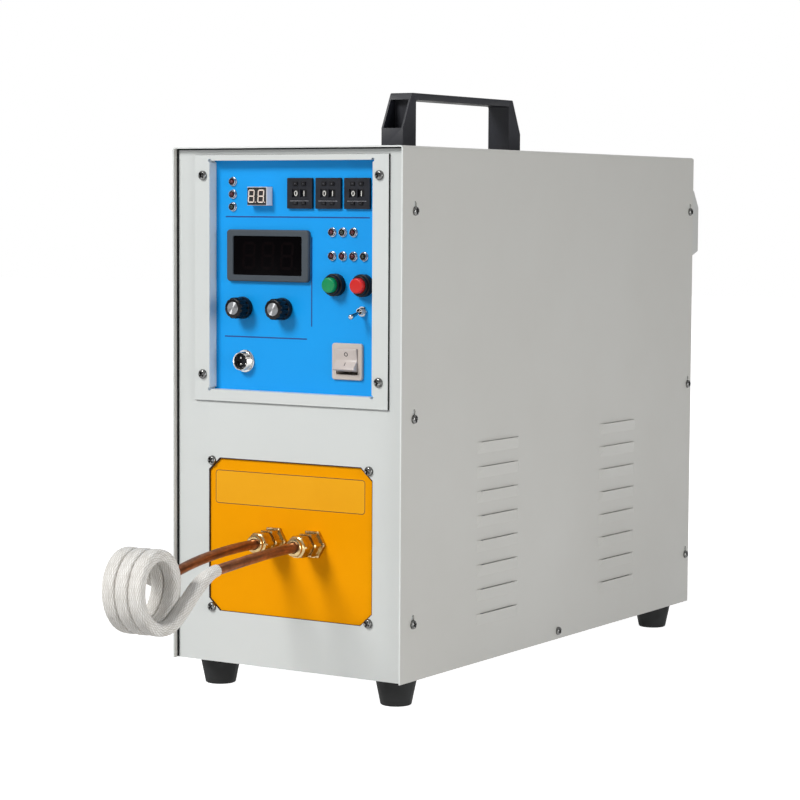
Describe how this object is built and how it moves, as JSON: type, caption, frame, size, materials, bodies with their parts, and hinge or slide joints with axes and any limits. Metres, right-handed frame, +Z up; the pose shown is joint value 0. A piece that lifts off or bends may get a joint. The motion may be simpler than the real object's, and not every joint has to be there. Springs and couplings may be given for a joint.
{
  "type": "induction heating machine",
  "caption": "Bench induction heater with a control panel, water-cooled sleeved work coil on the front, carrying handle, fan and rear hood.",
  "frame": {"origin": "middle of the footprint, coil and hood included, on the floor under the feet", "axes": "+X to the right seen from the front, +Y to the back (the coil points to -Y), +Z up"},
  "size_m": [0.2372, 0.8246, 0.5154],
  "materials": {
    "cover_paint": "smooth powder coat",
    "panel_paint": "smooth powder coat",
    "chassis_zinc": "zinc plated sheet",
    "rubber": "matt",
    "screw_steel": "bright plated",
    "black_nylon": "fine grain",
    "black_plastic": "fine grain",
    "dark_plastic": "fine grain",
    "blue_plate": "printed film, satin",
    "circuit_board": "solder resist",
    "smoked_window": "polished",
    "white_plastic": "satin",
    "bezel_chrome": "bright",
    "lamp_red": "polished",
    "green_plastic": "satin",
    "red_plastic": "satin",
    "pot_steel": "plated",
    "switch_nickel": "nickel plated",
    "ivory_plastic": "satin",
    "orange_board": "laminated board, satin",
    "brass": "machined",
    "copper": "copper with a brown oxide skin",
    "glass_braid": "braided glass fibre",
    "ferrite": "sintered, matt",
    "film_capacitor": "moulded",
    "sink_aluminium": "extruded",
    "fan_plastic": "moulded",
    "hose": "polyurethane tube",
    "hood_paint": "powder coat",
    "digit_wheel": "satin, white digits",
    "push_key": "satin"
  },
  "bodies": {
    "machine": {"cover": "cover_paint", "front_panel": "panel_paint", "rear_panel": "chassis_zinc", "base_tray": "chassis_zinc", "rubber_feet": "rubber", "case_screws": "screw_steel", "handle": "black_nylon", "window_frame": "panel_paint", "control_plate": "blue_plate", "control_board": "circuit_board", "ammeter_case": "dark_plastic", "ammeter_window": "smoked_window", "countdown_display": "white_plastic", "lamp_bezels": "bezel_chrome", "lamp_lenses": "lamp_red", "button_housings": "dark_plastic", "potentiometers": "pot_steel", "toggle_body": "switch_nickel", "rocker_frame": "ivory_plastic", "pedal_socket": "switch_nickel", "pedal_socket_insert": "dark_plastic", "output_board": "orange_board", "output_fittings": "brass", "fitting_nuts": "brass", "work_coil": "copper", "coil_sleeve": "glass_braid", "output_transformer": "ferrite", "capacitor_bank": "film_capacitor", "inverter_heatsink": "sink_aluminium", "fan_frame": "fan_plastic", "water_spigots": "brass", "water_hoses": "hose", "cable_gland": "black_nylon", "terminal_hood": "hood_paint", "timer_cases": "dark_plastic"},
    "green_button": {"green_button": "green_plastic"},
    "red_button": {"red_button": "red_plastic"},
    "power_knob": {"power_knob": "black_plastic"},
    "preheat_knob": {"preheat_knob": "black_plastic"},
    "toggle_lever": {"toggle_lever": "switch_nickel"},
    "rocker_paddle": {"rocker_paddle": "ivory_plastic"},
    "fan_rotor": {"fan_rotor": "fan_plastic"},
    "timer_1_tens_wheel": {"timer_1_tens_wheel": "digit_wheel"},
    "timer_1_units_wheel": {"timer_1_units_wheel": "digit_wheel"},
    "timer_2_tens_wheel": {"timer_2_tens_wheel": "digit_wheel"},
    "timer_2_units_wheel": {"timer_2_units_wheel": "digit_wheel"},
    "timer_3_tens_wheel": {"timer_3_tens_wheel": "digit_wheel"},
    "timer_3_units_wheel": {"timer_3_units_wheel": "digit_wheel"},
    "timer_1_tens_plus": {"timer_1_tens_plus": "push_key"},
    "timer_1_tens_minus": {"timer_1_tens_minus": "push_key"},
    "timer_1_units_plus": {"timer_1_units_plus": "push_key"},
    "timer_1_units_minus": {"timer_1_units_minus": "push_key"},
    "timer_2_tens_plus": {"timer_2_tens_plus": "push_key"},
    "timer_2_tens_minus": {"timer_2_tens_minus": "push_key"},
    "timer_2_units_plus": {"timer_2_units_plus": "push_key"},
    "timer_2_units_minus": {"timer_2_units_minus": "push_key"},
    "timer_3_tens_plus": {"timer_3_tens_plus": "push_key"},
    "timer_3_tens_minus": {"timer_3_tens_minus": "push_key"},
    "timer_3_units_plus": {"timer_3_units_plus": "push_key"},
    "timer_3_units_minus": {"timer_3_units_minus": "push_key"}
  },
  "joints": [
    {"name": "power_knob_turn", "type": "hinge", "parent": "machine", "child": "power_knob", "pos_m": [-0.0509, -0.1687, 0.3284], "axis": [0, 1, 0], "range_deg": [-150, 150]},
    {"name": "preheat_knob_turn", "type": "hinge", "parent": "machine", "child": "preheat_knob", "pos_m": [-0.0099, -0.1687, 0.3284], "axis": [0, 1, 0], "range_deg": [-150, 150]},
    {"name": "green_button_press", "type": "slide", "parent": "machine", "child": "green_button", "axis": [0, 1, 0], "range_m": [0, 0.003], "stiffness_N_per_m": 600},
    {"name": "red_button_press", "type": "slide", "parent": "machine", "child": "red_button", "axis": [0, 1, 0], "range_m": [0, 0.003], "stiffness_N_per_m": 600},
    {"name": "toggle_throw", "type": "hinge", "parent": "machine", "child": "toggle_lever", "pos_m": [0.0698, -0.1636, 0.3284], "axis": [-1, 0, 0], "range_deg": [0, 30]},
    {"name": "rocker_throw", "type": "hinge", "parent": "machine", "child": "rocker_paddle", "pos_m": [0.0556, -0.1577, 0.2865], "axis": [1, 0, 0], "range_deg": [0, 28]},
    {"name": "timer_1_tens_wheel_turn", "type": "hinge", "parent": "machine", "child": "timer_1_tens_wheel", "pos_m": [0.0036, -0.1533, 0.4252], "axis": [1, 0, 0], "continuous": true},
    {"name": "timer_1_units_wheel_turn", "type": "hinge", "parent": "machine", "child": "timer_1_units_wheel", "pos_m": [0.0118, -0.1533, 0.4252], "axis": [1, 0, 0], "continuous": true},
    {"name": "timer_2_tens_wheel_turn", "type": "hinge", "parent": "machine", "child": "timer_2_tens_wheel", "pos_m": [0.0321, -0.1533, 0.4252], "axis": [1, 0, 0], "continuous": true},
    {"name": "timer_2_units_wheel_turn", "type": "hinge", "parent": "machine", "child": "timer_2_units_wheel", "pos_m": [0.0403, -0.1533, 0.4252], "axis": [1, 0, 0], "continuous": true},
    {"name": "timer_3_tens_wheel_turn", "type": "hinge", "parent": "machine", "child": "timer_3_tens_wheel", "pos_m": [0.0606, -0.1533, 0.4252], "axis": [1, 0, 0], "continuous": true},
    {"name": "timer_3_units_wheel_turn", "type": "hinge", "parent": "machine", "child": "timer_3_units_wheel", "pos_m": [0.0688, -0.1533, 0.4252], "axis": [1, 0, 0], "continuous": true},
    {"name": "timer_1_tens_plus_press", "type": "slide", "parent": "machine", "child": "timer_1_tens_plus", "axis": [0, 1, 0], "range_m": [0, 0.0015], "stiffness_N_per_m": 300},
    {"name": "timer_1_tens_minus_press", "type": "slide", "parent": "machine", "child": "timer_1_tens_minus", "axis": [0, 1, 0], "range_m": [0, 0.0015], "stiffness_N_per_m": 300},
    {"name": "timer_1_units_plus_press", "type": "slide", "parent": "machine", "child": "timer_1_units_plus", "axis": [0, 1, 0], "range_m": [0, 0.0015], "stiffness_N_per_m": 300},
    {"name": "timer_1_units_minus_press", "type": "slide", "parent": "machine", "child": "timer_1_units_minus", "axis": [0, 1, 0], "range_m": [0, 0.0015], "stiffness_N_per_m": 300},
    {"name": "timer_2_tens_plus_press", "type": "slide", "parent": "machine", "child": "timer_2_tens_plus", "axis": [0, 1, 0], "range_m": [0, 0.0015], "stiffness_N_per_m": 300},
    {"name": "timer_2_tens_minus_press", "type": "slide", "parent": "machine", "child": "timer_2_tens_minus", "axis": [0, 1, 0], "range_m": [0, 0.0015], "stiffness_N_per_m": 300},
    {"name": "timer_2_units_plus_press", "type": "slide", "parent": "machine", "child": "timer_2_units_plus", "axis": [0, 1, 0], "range_m": [0, 0.0015], "stiffness_N_per_m": 300},
    {"name": "timer_2_units_minus_press", "type": "slide", "parent": "machine", "child": "timer_2_units_minus", "axis": [0, 1, 0], "range_m": [0, 0.0015], "stiffness_N_per_m": 300},
    {"name": "timer_3_tens_plus_press", "type": "slide", "parent": "machine", "child": "timer_3_tens_plus", "axis": [0, 1, 0], "range_m": [0, 0.0015], "stiffness_N_per_m": 300},
    {"name": "timer_3_tens_minus_press", "type": "slide", "parent": "machine", "child": "timer_3_tens_minus", "axis": [0, 1, 0], "range_m": [0, 0.0015], "stiffness_N_per_m": 300},
    {"name": "timer_3_units_plus_press", "type": "slide", "parent": "machine", "child": "timer_3_units_plus", "axis": [0, 1, 0], "range_m": [0, 0.0015], "stiffness_N_per_m": 300},
    {"name": "timer_3_units_minus_press", "type": "slide", "parent": "machine", "child": "timer_3_units_minus", "axis": [0, 1, 0], "range_m": [0, 0.0015], "stiffness_N_per_m": 300},
    {"name": "fan_spin", "type": "hinge", "parent": "machine", "child": "fan_rotor", "pos_m": [-0.05, 0.3295, 0.362], "axis": [0, 1, 0], "continuous": true}
  ]
}
